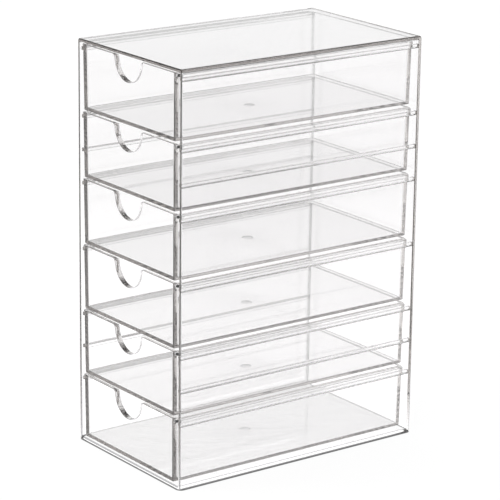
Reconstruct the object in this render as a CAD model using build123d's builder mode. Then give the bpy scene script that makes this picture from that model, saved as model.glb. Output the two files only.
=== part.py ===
from build123d import *
import os

# A clear desktop organizer: a case, open at the front, and six drawers that hang in it by the lips
# along their sides. Millimetres. The origin is under the middle of the whole, on the desk, +Z is up
# and the drawers pull out towards -Y.

# Case: one moulding, outer size first
case_width = 106.5
case_depth = 174.5
case_height = 250.0
case_wall = 2.0
case_edge_radius = 1.6
case_inner_radius = 0.8
case_rim_radius = 0.9

# Rails on the inside of both side walls. The same mould serves six drawers or four deeper ones, so
# it carries the rails of both.
drawer_count = 6
deep_drawer_count = 4
rail_width = 2.4
rail_height = 2.1
rail_set_back = 1.5
rail_edge_chamfer = 0.4

# Room round the drawers
ceiling_clearance = 0.4
row_gap = 1.2
floor_clearance = 1.6
front_stand_out = 0.6
back_clearance = 1.6
lip_side_clearance = 0.5
slide_clearance = 0.1
body_clearance = 1.5

# Drawer: one moulding, drafted so that it leaves its mould
draft_angle = 0.6
side_wall = 1.8
front_wall = 3.5
floor_wall = 1.5
outer_corner_radius = 1.2
inner_corner_radius = 1.5
bottom_radius = 0.8
floor_bevel = 0.4
ridge_height = 0.6
ridge_thickness = 2.0
lip_thickness = 1.8
lip_set_back = 1.0
lip_corner_radius = 3.0
notch_radius = 13.2
notch_drop = 1.2
notch_corner_radius = 2.5
gate_radius = 3.0
gate_depth = 0.4

# What follows from those sizes
case_back = (case_depth + front_stand_out) / 2
case_front = case_back - case_depth
inner_width = case_width - 2 * case_wall
inner_height = case_height - 2 * case_wall
rail_tip = inner_width / 2 - rail_width

drawer_pitch = (inner_height - ceiling_clearance - floor_clearance + row_gap) / drawer_count
deep_pitch = drawer_pitch * drawer_count / deep_drawer_count
drawer_height = drawer_pitch - row_gap
drawer_top = case_height - case_wall - ceiling_clearance
drawer_bottom = drawer_top - drawer_height
drawer_width = 2 * (rail_tip - body_clearance)
drawer_front = case_front - front_stand_out
drawer_back = case_back - case_wall - back_clearance
drawer_length = drawer_back - drawer_front
drawer_middle = (drawer_front + drawer_back) / 2
ridge_back = drawer_front + ridge_thickness
hollow_front = drawer_front + front_wall
hollow_back = drawer_back - side_wall

lip_top = drawer_top - ridge_height
lip_underside = lip_top - lip_thickness
lip_span = inner_width - 2 * lip_side_clearance
rail_top = lip_underside - slide_clearance

# Drops of the rails below the topmost pair. A rail of the deeper drawers is left out where a rail
# or a lip of the six drawers is already there.
row_drops = [row * drawer_pitch for row in range(drawer_count)]
rail_room = rail_height + lip_thickness + ridge_height
deep_drops = [
    row * deep_pitch
    for row in range(deep_drawer_count)
    if all(abs(row * deep_pitch - drop) > rail_room for drop in row_drops)
]
rail_levels = [rail_top - rail_height / 2 - drop for drop in row_drops + deep_drops]

with BuildPart() as case:
    with BuildSketch():
        with Locations((0, case_back)):
            Rectangle(case_width, case_depth, align=(Align.CENTER, Align.MAX))
    extrude(amount=case_height)
    open_front = case.faces().sort_by(Axis.Y)[0]
    fillet(case.edges() - open_front.edges(), case_edge_radius)

    # The inside, cut from the front up to the back wall
    with BuildSketch(Plane.XZ.offset(-case_front)):
        with Locations((0, case_height / 2)):
            RectangleRounded(inner_width, inner_height, case_inner_radius)
    extrude(amount=case_wall - case_depth, mode=Mode.SUBTRACT)
    case_rim = case.faces().sort_by(Axis.Y)[0]
    fillet(case_rim.edges(), case_rim_radius)

    # Rails, from a little behind the front to the back wall, bevelled along the tip
    with BuildSketch(Plane.XZ.offset(-case_front - rail_set_back)) as rails:
        for level in rail_levels:
            with Locations((rail_tip, level)):
                Rectangle(rail_width, rail_height, align=(Align.MIN, Align.CENTER))
            with Locations((-rail_tip, level)):
                Rectangle(rail_width, rail_height, align=(Align.MAX, Align.CENTER))
        tips = rails.vertices().group_by(Axis.X)[1] + rails.vertices().group_by(Axis.X)[2]
        chamfer(tips, rail_edge_chamfer)
    extrude(amount=case_wall + rail_set_back - case_depth)
case.part.label = "case"

with BuildPart() as drawer:
    # Outer form, narrowing downwards
    with BuildSketch(Plane.XY.offset(drawer_top)):
        with Locations((0, drawer_middle)):
            Rectangle(drawer_width, drawer_length)
    extrude(amount=-drawer_height)
    draft(drawer.faces().filter_by(Axis.Z, reverse=True), Plane.XY.offset(drawer_top), -draft_angle)
    fillet(drawer.edges().filter_by(Axis.Z, tolerance=2 * draft_angle), outer_corner_radius)
    fillet(drawer.faces().sort_by(Axis.Z)[0].edges(), bottom_radius)

    # Only a ridge along the front stands above the lips
    with BuildSketch(Plane.XY.offset(lip_top)):
        with Locations((0, ridge_back)):
            Rectangle(lip_span, drawer_length, align=(Align.CENTER, Align.MIN))
    extrude(amount=ridge_height, mode=Mode.SUBTRACT)

    # Both lips, as one plate that the drawer's inside then cuts in two
    with BuildSketch(Plane.XY.offset(lip_underside)) as plate:
        with Locations((0, drawer_middle)):
            Rectangle(lip_span, drawer_length - 2 * lip_set_back)
        fillet(plate.vertices(), lip_corner_radius)
    extrude(amount=lip_thickness)

    # The inside, cut down to the floor
    with BuildSketch(Plane.XY.offset(lip_top)):
        with Locations((0, (hollow_front + hollow_back) / 2)):
            Rectangle(drawer_width - 2 * side_wall, hollow_back - hollow_front)
    extrude(amount=drawer_bottom + floor_wall - lip_top, mode=Mode.SUBTRACT)
    walls = drawer.faces(Select.LAST).filter_by(Axis.Z, reverse=True)
    draft(walls, Plane.XY.offset(lip_top), draft_angle)
    corners = drawer.edges(Select.LAST).filter_by(Axis.Z, tolerance=2 * draft_angle)
    fillet(corners, inner_corner_radius)
    floor = drawer.faces().filter_by(Axis.Z).group_by(Axis.Z)[1]
    chamfer(floor.edges(), floor_bevel)

    # Finger notch in the front's top edge, its two corners rounded
    with BuildSketch(Plane.XZ.offset(-drawer_front)) as notch:
        with Locations((0, drawer_top - notch_drop)):
            Circle(notch_radius)
        with Locations((0, drawer_top)):
            Rectangle(drawer_width / 2, notch_radius, align=(Align.CENTER, Align.MIN))
        fillet(notch.vertices().group_by(Axis.Y)[-2].sort_by(Axis.X)[1:3], notch_corner_radius)
    extrude(amount=-2 * front_wall, mode=Mode.SUBTRACT)

    # Mark of the mould's gate, a shallow recess under the floor
    with BuildSketch(Plane.XY.offset(drawer_bottom)):
        with Locations((0, drawer_middle)):
            Circle(gate_radius)
    extrude(amount=gate_depth, mode=Mode.SUBTRACT)

os.makedirs("parts", exist_ok=True)
export_step(case.part, "parts/case.step")
for row in range(drawer_count):
    placed = drawer.part.moved(Location((0, 0, -row * drawer_pitch)))
    placed.label = f"drawer_{row + 1}"
    export_step(placed, f"parts/{placed.label}.step")
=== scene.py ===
# Looks of the clear six-drawer desk organizer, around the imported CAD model. Lengths in metres.
from math import cos, radians, sin

import bmesh
import bpy
import numpy as np
from mathutils import Matrix, Vector


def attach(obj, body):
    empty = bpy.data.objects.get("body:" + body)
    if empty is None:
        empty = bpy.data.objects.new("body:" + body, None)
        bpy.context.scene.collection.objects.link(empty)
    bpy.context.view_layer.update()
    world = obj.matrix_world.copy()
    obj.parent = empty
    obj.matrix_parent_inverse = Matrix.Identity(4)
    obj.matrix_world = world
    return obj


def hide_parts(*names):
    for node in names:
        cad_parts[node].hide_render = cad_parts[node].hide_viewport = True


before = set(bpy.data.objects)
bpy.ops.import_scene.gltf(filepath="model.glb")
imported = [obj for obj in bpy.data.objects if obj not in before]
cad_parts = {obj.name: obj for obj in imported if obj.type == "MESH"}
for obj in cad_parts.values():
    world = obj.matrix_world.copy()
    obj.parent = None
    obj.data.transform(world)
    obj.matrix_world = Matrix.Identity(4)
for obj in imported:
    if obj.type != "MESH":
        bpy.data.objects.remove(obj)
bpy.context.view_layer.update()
scene = bpy.context.scene

plainWhite = (1.0, 1.0, 1.0, 1.0)

# The view. Angles in degrees.
viewValues = {
    "azimuth": 53.2717,      # from the front, towards the object's right side
    "elevation": 16.3476,
    "roll": 0.7834,
    "place": (1.18406, -0.88194, 0.55205),
    "focalPixels": 2546.58,  # focal length in pixels of the 500-pixel-wide picture
    "pictureWidth": 500,
    "sensorWidth": 36.0,     # millimetres
    "farthest": 20.0,
}


def placeCamera(values):
    # The camera looks back along (sin az cos el, -cos az cos el, sin el), rolled about that line
    az, el, roll = (radians(values[k]) for k in ("azimuth", "elevation", "roll"))
    back = Vector((sin(az) * cos(el), -cos(az) * cos(el), sin(el)))
    level = Vector((cos(az), sin(az), 0.0))
    upright = back.cross(level)
    right = cos(roll) * level + sin(roll) * upright
    up = -sin(roll) * level + cos(roll) * upright
    data = bpy.data.cameras.new("deskCamera")
    data.sensor_width = values["sensorWidth"]
    data.lens = values["focalPixels"] / values["pictureWidth"] * values["sensorWidth"]
    data.clip_end = values["farthest"]
    camera = bpy.data.objects.new("deskCamera", data)
    scene.collection.objects.link(camera)
    turn = Matrix((right, up, back)).transposed().to_4x4()
    camera.matrix_world = Matrix.Translation(values["place"]) @ turn
    scene.camera = camera


placeCamera(viewValues)
print("camera placed")


# Helpers for node trees. Each adds its nodes and returns the socket with the result.
def maths(tree, kind, a, b=None):
    # A Math node whose inputs are numbers or sockets
    node = tree.nodes.new("ShaderNodeMath")
    node.operation = kind
    for socket, value in zip(node.inputs, (a, b)):
        if isinstance(value, (int, float)):
            socket.default_value = value
        elif value is not None:
            tree.links.new(value, socket)
    return node.outputs[0]


def hypotenuse(tree, a, b):
    squares = maths(tree, "ADD", maths(tree, "MULTIPLY", a, a), maths(tree, "MULTIPLY", b, b))
    return maths(tree, "SQRT", squares)


def between(tree, share, first, second):
    # first where share is 0, second where it is 1
    step = maths(tree, "MULTIPLY", share, maths(tree, "SUBTRACT", second, first))
    return maths(tree, "ADD", first, step)


def ramp(tree, value, start, end, low, high):
    # low up to start, high from end on, a smooth step between them
    node = tree.nodes.new("ShaderNodeMapRange")
    node.interpolation_type = "SMOOTHSTEP"
    for name, level in (("From Min", start), ("From Max", end), ("To Min", low), ("To Max", high)):
        node.inputs[name].default_value = level
    tree.links.new(value, node.inputs["Value"])
    return node.outputs["Result"]


def axisParts(tree, vector):
    # x, y and z of a vector
    parts = tree.nodes.new("ShaderNodeSeparateXYZ")
    tree.links.new(vector, parts.inputs[0])
    return parts.outputs["X"], parts.outputs["Y"], parts.outputs["Z"]


def mixShaders(tree, share, first, second):
    mix = tree.nodes.new("ShaderNodeMixShader")
    for value, socket in zip((share, first, second), mix.inputs):
        tree.links.new(value, socket)
    return mix.outputs[0]


def showsBackground(tree):
    # 1 for rays from the camera, off gloss or through clear plastic, and 0 for the rest
    path = tree.nodes.new("ShaderNodeLightPath").outputs
    return maths(tree, "MAXIMUM", maths(tree, "MAXIMUM", path["Is Camera Ray"], path["Is Glossy Ray"]),
                 path["Is Transmission Ray"])


# Light: a white sweep all round, one large soft lamp over the left shoulder and a weak one behind
lightValues = {
    "roomLevel": 0.75,
    "roomColour": plainWhite,
    "sweepLevel": 1.0,
    "sweepTop": 0.10,        # sine of the height up to which gloss and clear plastic see the sweep
    "ceilingStart": 0.55,    # and of the height from which they see the dim ceiling
    "ceilingLevel": 0.06,
    "lamps": [
        # name, place, aims at, size, watts
        ("overheadSoftbox", (-0.9, -1.1, 1.9), (0.0, 0.0, 0.1), 1.2, 14.0),
        ("rearSoftbox", (0.8, 1.6, 1.3), (0.0, 0.0, 0.1), 1.0, 6.0),
    ],
}


def sweepLevel(tree, values):
    # White low down, dim overhead, but plain white straight behind the object
    height = axisParts(tree, tree.nodes.new("ShaderNodeTexCoord").outputs["Generated"])[2]
    fall = ramp(tree, height, values["sweepTop"], values["ceilingStart"],
                values["sweepLevel"], values["ceilingLevel"])
    path = tree.nodes.new("ShaderNodeLightPath").outputs
    return maths(tree, "MAXIMUM", path["Is Camera Ray"], fall)


def lightRoom(values):
    world = bpy.data.worlds.new("studio")
    scene.world = world
    world.use_nodes = True
    tree = world.node_tree
    tree.nodes.clear()
    seen = tree.nodes.new("ShaderNodeBackground")
    seen.inputs["Color"].default_value = plainWhite
    tree.links.new(sweepLevel(tree, values), seen.inputs["Strength"])
    lit = tree.nodes.new("ShaderNodeBackground")
    lit.inputs["Color"].default_value = values["roomColour"]
    lit.inputs["Strength"].default_value = values["roomLevel"]
    out = tree.nodes.new("ShaderNodeOutputWorld")
    both = mixShaders(tree, showsBackground(tree), lit.outputs[0], seen.outputs[0])
    tree.links.new(both, out.inputs["Surface"])
    for name, place, aim, size, watts in values["lamps"]:
        data = bpy.data.lights.new(name, "AREA")
        data.shape = "DISK"
        data.size = size
        data.energy = watts
        lamp = bpy.data.objects.new(name, data)
        scene.collection.objects.link(lamp)
        lamp.location = place
        lamp.rotation_euler = (Vector(place) - Vector(aim)).to_track_quat("Z", "Y").to_euler()


lightRoom(lightValues)

floorValues = {
    "halfSize": 4.0,
    "gridRows": 2,
    "whiteShare": 0.86,      # share of plain white seen, the rest is the lit surface with the shadow
    "plainLevel": 1.07,
    "nearLevel": 1.33,       # brightness of the white close to the object and far from it
    "farLevel": 1.10,
    "glowStart": 0.15,
    "glowEnd": 0.65,
    "footWidth": 0.1065,     # outline of the case's underside, where a painted contact shadow darkens the floor
    "footDepth": 0.1745,
    "footMiddle": 0.0003,
    "footCorner": 0.003,
    "footInset": 0.0006,
    "footCore": 0.0007,
    "footReach": 0.0016,
    "contactShadowLevel": 0.12,
    "surfaceColour": (0.86, 0.86, 0.86, 1.0),
}


def paintedContactShadow(tree, values, x, y):
    # Painted contact shadow: dark where the distance from the foot's outline, a box with round corners,
    # is small
    corner = values["footCorner"]
    across = maths(tree, "SUBTRACT", maths(tree, "ABSOLUTE", x), values["footWidth"] / 2 - corner)
    shifted = maths(tree, "SUBTRACT", y, values["footMiddle"])
    along = maths(tree, "SUBTRACT", maths(tree, "ABSOLUTE", shifted), values["footDepth"] / 2 - corner)
    outer = hypotenuse(tree, maths(tree, "MAXIMUM", across, 0.0), maths(tree, "MAXIMUM", along, 0.0))
    inner = maths(tree, "MINIMUM", maths(tree, "MAXIMUM", across, along), 0.0)
    edge = maths(tree, "SUBTRACT", maths(tree, "ADD", outer, inner), corner - values["footInset"])
    return ramp(tree, maths(tree, "ABSOLUTE", edge), values["footCore"], values["footReach"],
                values["contactShadowLevel"], 1.0)


def floorLevel(tree, values):
    # Brightness of the white floor: plain white to the camera, and seen in or through the plastic
    # brighter close to the object. Both carry a painted contact shadow along the foot.
    x, y, _ = axisParts(tree, tree.nodes.new("ShaderNodeTexCoord").outputs["Object"])
    contactShadow = paintedContactShadow(tree, values, x, y)
    glow = ramp(tree, hypotenuse(tree, x, y), values["glowStart"], values["glowEnd"],
                values["nearLevel"], values["farLevel"])
    toCamera = tree.nodes.new("ShaderNodeLightPath").outputs["Is Camera Ray"]
    plain = maths(tree, "MULTIPLY", toCamera, values["plainLevel"])
    other = maths(tree, "MULTIPLY", maths(tree, "SUBTRACT", 1.0, toCamera), glow)
    return maths(tree, "MULTIPLY", contactShadow, maths(tree, "ADD", plain, other))


def makeFloor(values):
    # A flat grid, z = 0, whose own shading dims the white where the object keeps light off, with a
    # painted contact shadow along the foot
    rows = values["gridRows"]
    u = np.linspace(-values["halfSize"], values["halfSize"], rows + 1)
    x, y = np.meshgrid(u, u, indexing="ij")
    verts = np.stack([x.ravel(), y.ravel(), np.zeros(x.size)], 1)
    i, j = np.meshgrid(np.arange(rows), np.arange(rows), indexing="ij")
    corner = (i * (rows + 1) + j).ravel()
    faces = np.stack([corner, corner + rows + 1, corner + rows + 2, corner + 1], 1)
    mesh = bpy.data.meshes.new("floor")
    mesh.from_pydata(verts.tolist(), [], faces.tolist())
    floor = bpy.data.objects.new("floor", mesh)
    scene.collection.objects.link(floor)
    paint = bpy.data.materials.new("whiteFloor")
    paint.use_nodes = True
    tree = paint.node_tree
    tree.nodes.clear()
    matt = tree.nodes.new("ShaderNodeBsdfDiffuse")
    matt.inputs["Color"].default_value = values["surfaceColour"]
    white = tree.nodes.new("ShaderNodeEmission")
    tree.links.new(floorLevel(tree, values), white.inputs["Strength"])
    share = maths(tree, "MULTIPLY", showsBackground(tree), values["whiteShare"])
    out = tree.nodes.new("ShaderNodeOutputMaterial")
    tree.links.new(mixShaders(tree, share, matt.outputs[0], white.outputs[0]), out.inputs["Surface"])
    mesh.materials.append(paint)


makeFloor(floorValues)
print("light and floor made")

# Patterns in the plastic, in cycles a metre along x, y and z unless said otherwise
detailValues = {
    "swells": (22.0, 14.0, 22.0),
    "ripples": (75.0, 45.0, 75.0),
    "rippleShare": 0.25,
    "streaks": (2600.0, 45.0, 2600.0),
    "streakTurn": (2.0, 0.0, 4.0),
    "streakDetail": 1.0,
    "hairWindow": (0.70, 0.76),
    "patches": (35.0, 20.0, 35.0),
    "patchWindow": (0.48, 0.62),
    "cells": (140.0, 140.0, 140.0),
    "speckSize": 0.035,             # in cells
    "speckEdge": 0.006,
    "markEdge": (0.0026, 0.0031),   # rim of the gate's round mark
    "roundWindow": (0.95, 0.998),   # longest part of the normal on a round edge and on a flat face
    "uprightLean": (0.05, 0.2),     # z of the normal on an upright edge and on another
    "railReach": (0.0496, 0.0502),  # the rails' tips lie within this distance from the middle
    "railLean": (0.2, 0.4),
    "notchReach": (0.0165, 0.0175),
    "notchLean": (0.03, 0.08),
    "lowEdges": (0.02, 0.15),       # heights between which the painted edge shade eases off from its low share
}


def newGroup(name, inputs, outputs):
    # A node group with named inputs (name, default) and outputs, all plain numbers
    group = bpy.data.node_groups.new(name, "ShaderNodeTree")
    for label, default in inputs:
        socket = group.interface.new_socket(label, in_out="INPUT", socket_type="NodeSocketFloat")
        socket.default_value = default
    for label in outputs:
        group.interface.new_socket(label, in_out="OUTPUT", socket_type="NodeSocketFloat")
    given = group.nodes.new("NodeGroupInput")
    result = group.nodes.new("NodeGroupOutput")
    return group, given.outputs, result.inputs


def placeInPattern(tree, scale, shift, turn=(0.0, 0.0, 0.0)):
    # The point on the piece, turned, shifted and stretched into a pattern's own units
    place = tree.nodes.new("ShaderNodeTexCoord")
    mapping = tree.nodes.new("ShaderNodeMapping")
    mapping.inputs["Rotation"].default_value = [radians(angle) for angle in turn]
    mapping.inputs["Scale"].default_value = scale
    tree.links.new(place.outputs["Object"], mapping.inputs["Vector"])
    tree.links.new(shift, mapping.inputs["Location"])
    return mapping.outputs["Vector"]


def noiseLevel(tree, vector, detail=0.0):
    noise = tree.nodes.new("ShaderNodeTexNoise")
    noise.inputs["Scale"].default_value = 1.0
    noise.inputs["Detail"].default_value = detail
    tree.links.new(vector, noise.inputs["Vector"])
    return noise.outputs["Fac"]


def makeWaves(values):
    # Shallow swells where the moulding shrank while it cooled, longer along the flow
    group, given, result = newGroup("mouldWaves", [("Seed", 0.0), ("Height", 0.0)], ["Height"])
    swell = noiseLevel(group, placeInPattern(group, values["swells"], given["Seed"]))
    ripple = noiseLevel(group, placeInPattern(group, values["ripples"], given["Seed"]))
    both = maths(group, "ADD", swell, maths(group, "MULTIPLY", ripple, values["rippleShare"]))
    group.links.new(maths(group, "MULTIPLY", both, given["Height"]), result["Height"])
    return group


def makeMarks(values):
    # Hairline scratches that run with the drawers' travel, in patches, and a few specks of dust
    group, given, result = newGroup("handlingMarks", [("Seed", 0.0), ("Scratches", 0.0), ("Dust", 0.0)],
                                    ["Haze"])
    along = placeInPattern(group, values["streaks"], given["Seed"], values["streakTurn"])
    streaks = noiseLevel(group, along, values["streakDetail"])
    hairs = ramp(group, streaks, *values["hairWindow"], 0.0, 1.0)
    patches = noiseLevel(group, placeInPattern(group, values["patches"], given["Seed"]))
    scratches = maths(group, "MULTIPLY", hairs, ramp(group, patches, *values["patchWindow"], 0.0, 1.0))
    cells = group.nodes.new("ShaderNodeTexVoronoi")
    cells.inputs["Scale"].default_value = 1.0
    group.links.new(placeInPattern(group, values["cells"], given["Seed"]), cells.inputs["Vector"])
    pick = group.nodes.new("ShaderNodeSeparateColor")
    group.links.new(cells.outputs["Color"], pick.inputs["Color"])
    size = maths(group, "MULTIPLY", pick.outputs["Red"], values["speckSize"])
    specks = ramp(group, maths(group, "SUBTRACT", cells.outputs["Distance"], size),
                  -values["speckEdge"], values["speckEdge"], 1.0, 0.0)
    haze = maths(group, "ADD", maths(group, "MULTIPLY", scratches, given["Scratches"]),
                 maths(group, "MULTIPLY", specks, given["Dust"]))
    group.links.new(maths(group, "MINIMUM", haze, 1.0), result["Haze"])
    return group


def makeCloud(values):
    # A faint milky cloud in the floor round the mould's gate, and the rough round mark of the gate
    group, given, result = newGroup("gateCloud", [("Middle X", 0.0), ("Middle Y", 0.0),
                                                  ("Reach", 0.03), ("Share", 0.0),
                                                  ("Mark Share", 0.0)], ["Cloud", "Mark"])
    x, y, _ = axisParts(group, group.nodes.new("ShaderNodeTexCoord").outputs["Object"])
    distance = hypotenuse(group, maths(group, "SUBTRACT", x, given["Middle X"]),
                          maths(group, "SUBTRACT", y, given["Middle Y"]))
    fade = ramp(group, maths(group, "DIVIDE", distance, given["Reach"]), 0.0, 1.0, 1.0, 0.0)
    mark = ramp(group, distance, *values["markEdge"], 1.0, 0.0)
    group.links.new(maths(group, "MULTIPLY", mark, given["Mark Share"]), result["Mark"])
    group.links.new(maths(group, "MULTIPLY", fade, given["Share"]), result["Cloud"])
    return group


def makePaintedEdgeShade(values):
    # Painted shade on round edges, where the normal points along none of the piece's own axes. Upright
    # edges, the case's rails, the finger notch and the lowest edges each have their own share.
    group, given, result = newGroup("paintedEdgeShade", [("Share", 0.0), ("Upright Share", 0.0),
                                                  ("Rail Share", 0.0), ("Notch Share", 0.0),
                                                  ("Low Share", 0.0)], ["Edge"])
    place = group.nodes.new("ShaderNodeTexCoord").outputs
    nx, ny, nz = (maths(group, "ABSOLUTE", part) for part in axisParts(group, place["Normal"]))
    x, _, z = axisParts(group, place["Object"])
    aside = maths(group, "ABSOLUTE", x)
    longest = maths(group, "MAXIMUM", maths(group, "MAXIMUM", nx, ny), nz)
    rounded = ramp(group, longest, *values["roundWindow"], 1.0, 0.0)
    standing = ramp(group, nz, *values["uprightLean"], 1.0, 0.0)
    share = between(group, standing, given["Share"], given["Upright Share"])
    # Within the rails' reach only the rails and the notch lean sideways
    rail = maths(group, "MULTIPLY", ramp(group, aside, *values["railReach"], 1.0, 0.0),
                 ramp(group, nx, *values["railLean"], 0.0, 1.0))
    share = between(group, rail, share, given["Rail Share"])
    free = maths(group, "MAXIMUM", ramp(group, aside, *values["notchReach"], 0.0, 1.0),
                 ramp(group, nx, *values["notchLean"], 1.0, 0.0))
    share = between(group, free, given["Notch Share"], share)
    high = ramp(group, z, *values["lowEdges"], 0.0, 1.0)
    share = between(group, high, given["Low Share"], share)
    group.links.new(maths(group, "MULTIPLY", rounded, share), result["Edge"])
    return group


waves = makeWaves(detailValues)
marks = makeMarks(detailValues)
cloud = makeCloud(detailValues)
edges = makePaintedEdgeShade(detailValues)
print("patterns made")

# The clear plastic. Both kinds share these values, and the dictionaries below add their own.
clearValues = {
    "hazeTint": (0.90, 0.90, 0.91, 1.0),
    "roughness": 0.0,
    "hazeRoughness": 0.22,
    "ior": 1.57,
    "absorbColour": (0.80, 0.785, 0.775, 1.0),
    "absorbDensity": 26.0,
}
casePlasticValues = {
    **clearValues,
    "tint": (0.990, 0.988, 0.991, 1.0),
    "cloudTint": (0.985, 0.982, 0.986, 1.0),
    # The next colour and the edge shares below paint shade on the case's round edges
    "paintedShadeColour": (0.18, 0.18, 0.19, 1.0),
    "waves": {"Seed": 0.0, "Height": 0.00002},
    "marks": {"Seed": 3.0, "Scratches": 0.5, "Dust": 0.8},
    "edges": {"Share": 0.43, "Upright Share": 0.1, "Rail Share": 0.8, "Notch Share": 0.0,
              "Low Share": 0.97},
    "cloud": {"Share": 0.0, "Mark Share": 0.0},
}
drawerPlasticValues = {
    **clearValues,
    "tint": (0.990, 0.988, 0.989, 1.0),
    "cloudTint": (0.935, 0.930, 0.932, 1.0),
    # The next colour and the edge shares below paint shade on the drawers' round edges
    "paintedShadeColour": (0.25, 0.25, 0.26, 1.0),
    "waves": {"Seed": 7.0, "Height": 0.00002},
    "marks": {"Seed": 11.0, "Scratches": 0.7, "Dust": 0.8},
    "edges": {"Share": 0.45, "Upright Share": 0.0, "Rail Share": 0.45, "Notch Share": 0.2,
              "Low Share": 0.4},
    "cloud": {"Middle Y": -0.0019, "Reach": 0.032, "Share": 0.9, "Mark Share": 0.8},
}


def useGroup(tree, group, values):
    node = tree.nodes.new("ShaderNodeGroup")
    node.node_tree = group
    for label, value in values.items():
        node.inputs[label].default_value = value
    return node.outputs


def blend(tree, share, first, second):
    # Colour between two, each a colour value or a socket
    mix = tree.nodes.new("ShaderNodeMix")
    mix.data_type = "RGBA"
    tree.links.new(share, mix.inputs["Factor"])
    colourA, colourB, result = mix.inputs[6], mix.inputs[7], mix.outputs[2]
    for socket, colour in ((colourA, first), (colourB, second)):
        if isinstance(colour, tuple):
            socket.default_value = colour
        else:
            tree.links.new(colour, socket)
    return result


def makePlastic(name, values):
    paint = bpy.data.materials.new(name)
    paint.use_nodes = True
    tree = paint.node_tree
    tree.nodes.clear()
    swell = useGroup(tree, waves, values["waves"])["Height"]
    gate = useGroup(tree, cloud, values["cloud"])
    wear = useGroup(tree, marks, values["marks"])["Haze"]
    haze = maths(tree, "MAXIMUM", wear, gate["Mark"])
    # Painted shade: the round edges' share blends the base colour towards a dark grey
    edge = useGroup(tree, edges, values["edges"])["Edge"]
    clear = tree.nodes.new("ShaderNodeBsdfPrincipled")
    colour = blend(tree, gate["Cloud"], values["tint"], values["cloudTint"])
    colour = blend(tree, haze, colour, values["hazeTint"])
    tree.links.new(blend(tree, edge, colour, values["paintedShadeColour"]), clear.inputs["Base Color"])
    gloss = maths(tree, "MULTIPLY", haze, values["hazeRoughness"])
    tree.links.new(maths(tree, "ADD", gloss, values["roughness"]), clear.inputs["Roughness"])
    bump = tree.nodes.new("ShaderNodeBump")
    bump.inputs["Distance"].default_value = 1.0
    tree.links.new(swell, bump.inputs["Height"])
    tree.links.new(bump.outputs["Normal"], clear.inputs["Normal"])
    clear.inputs["IOR"].default_value = values["ior"]
    clear.inputs["Transmission Weight"].default_value = 1.0
    absorb = tree.nodes.new("ShaderNodeVolumeAbsorption")
    absorb.inputs["Color"].default_value = values["absorbColour"]
    absorb.inputs["Density"].default_value = values["absorbDensity"]
    out = tree.nodes.new("ShaderNodeOutputMaterial")
    tree.links.new(clear.outputs[0], out.inputs["Surface"])
    tree.links.new(absorb.outputs[0], out.inputs["Volume"])
    return paint


edgeValues = {
    "roundness": 0.00035,    # radius put on the right-angled edges of the mouldings
    "steps": 3,
    "sharpAngle": 50.0,      # the 45-degree bevels of the CAD model are left as they are
    "flatAngle": 0.5,        # neighbouring triangles this close to flat become one face
    "mergeDistance": 1e-6,
    "areaLead": 80,          # how far the larger face sets the shading at a shared corner
}


def roundEdges(node, values):
    # A merged copy of a moulding, its flat triangles joined and its sharp edges bevelled
    mesh = node.data.copy()
    shape = bmesh.new()
    shape.from_mesh(mesh)
    bmesh.ops.remove_doubles(shape, verts=shape.verts, dist=values["mergeDistance"])
    bmesh.ops.dissolve_limit(shape, angle_limit=radians(values["flatAngle"]),
                             verts=shape.verts, edges=shape.edges)
    for face in shape.faces:
        face.smooth = True
    shape.to_mesh(mesh)
    shape.free()
    piece = bpy.data.objects.new(node.name + "_moulding", mesh)
    scene.collection.objects.link(piece)
    bevel = piece.modifiers.new("roundedEdges", "BEVEL")
    bevel.width = values["roundness"]
    bevel.segments = values["steps"]
    bevel.limit_method = "ANGLE"
    bevel.angle_limit = radians(values["sharpAngle"])
    bevel.use_clamp_overlap = False
    bevel.miter_outer = "MITER_ARC"
    weigh = piece.modifiers.new("flatFacesLead", "WEIGHTED_NORMAL")
    weigh.mode = "FACE_AREA"
    weigh.weight = values["areaLead"]
    weigh.keep_sharp = False
    return piece


casePlastic = makePlastic("clearCasePlastic", casePlasticValues)
drawerPlastic = makePlastic("clearDrawerPlastic", drawerPlasticValues)
print("plastics made")

for name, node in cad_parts.items():
    piece = roundEdges(node, edgeValues)
    piece.data.materials.clear()
    piece.data.materials.append(casePlastic if name == "case" else drawerPlastic)
    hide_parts(name)
    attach(piece, name)
print("mouldings dressed")

# How light is followed: enough bounces for the long way along the walls to the edges
pathValues = {"bounces": 64}

scene.view_settings.view_transform = "Standard"
scene.cycles.max_bounces = pathValues["bounces"]
scene.cycles.transmission_bounces = pathValues["bounces"]
scene.cycles.glossy_bounces = pathValues["bounces"]
scene.cycles.transparent_max_bounces = pathValues["bounces"]
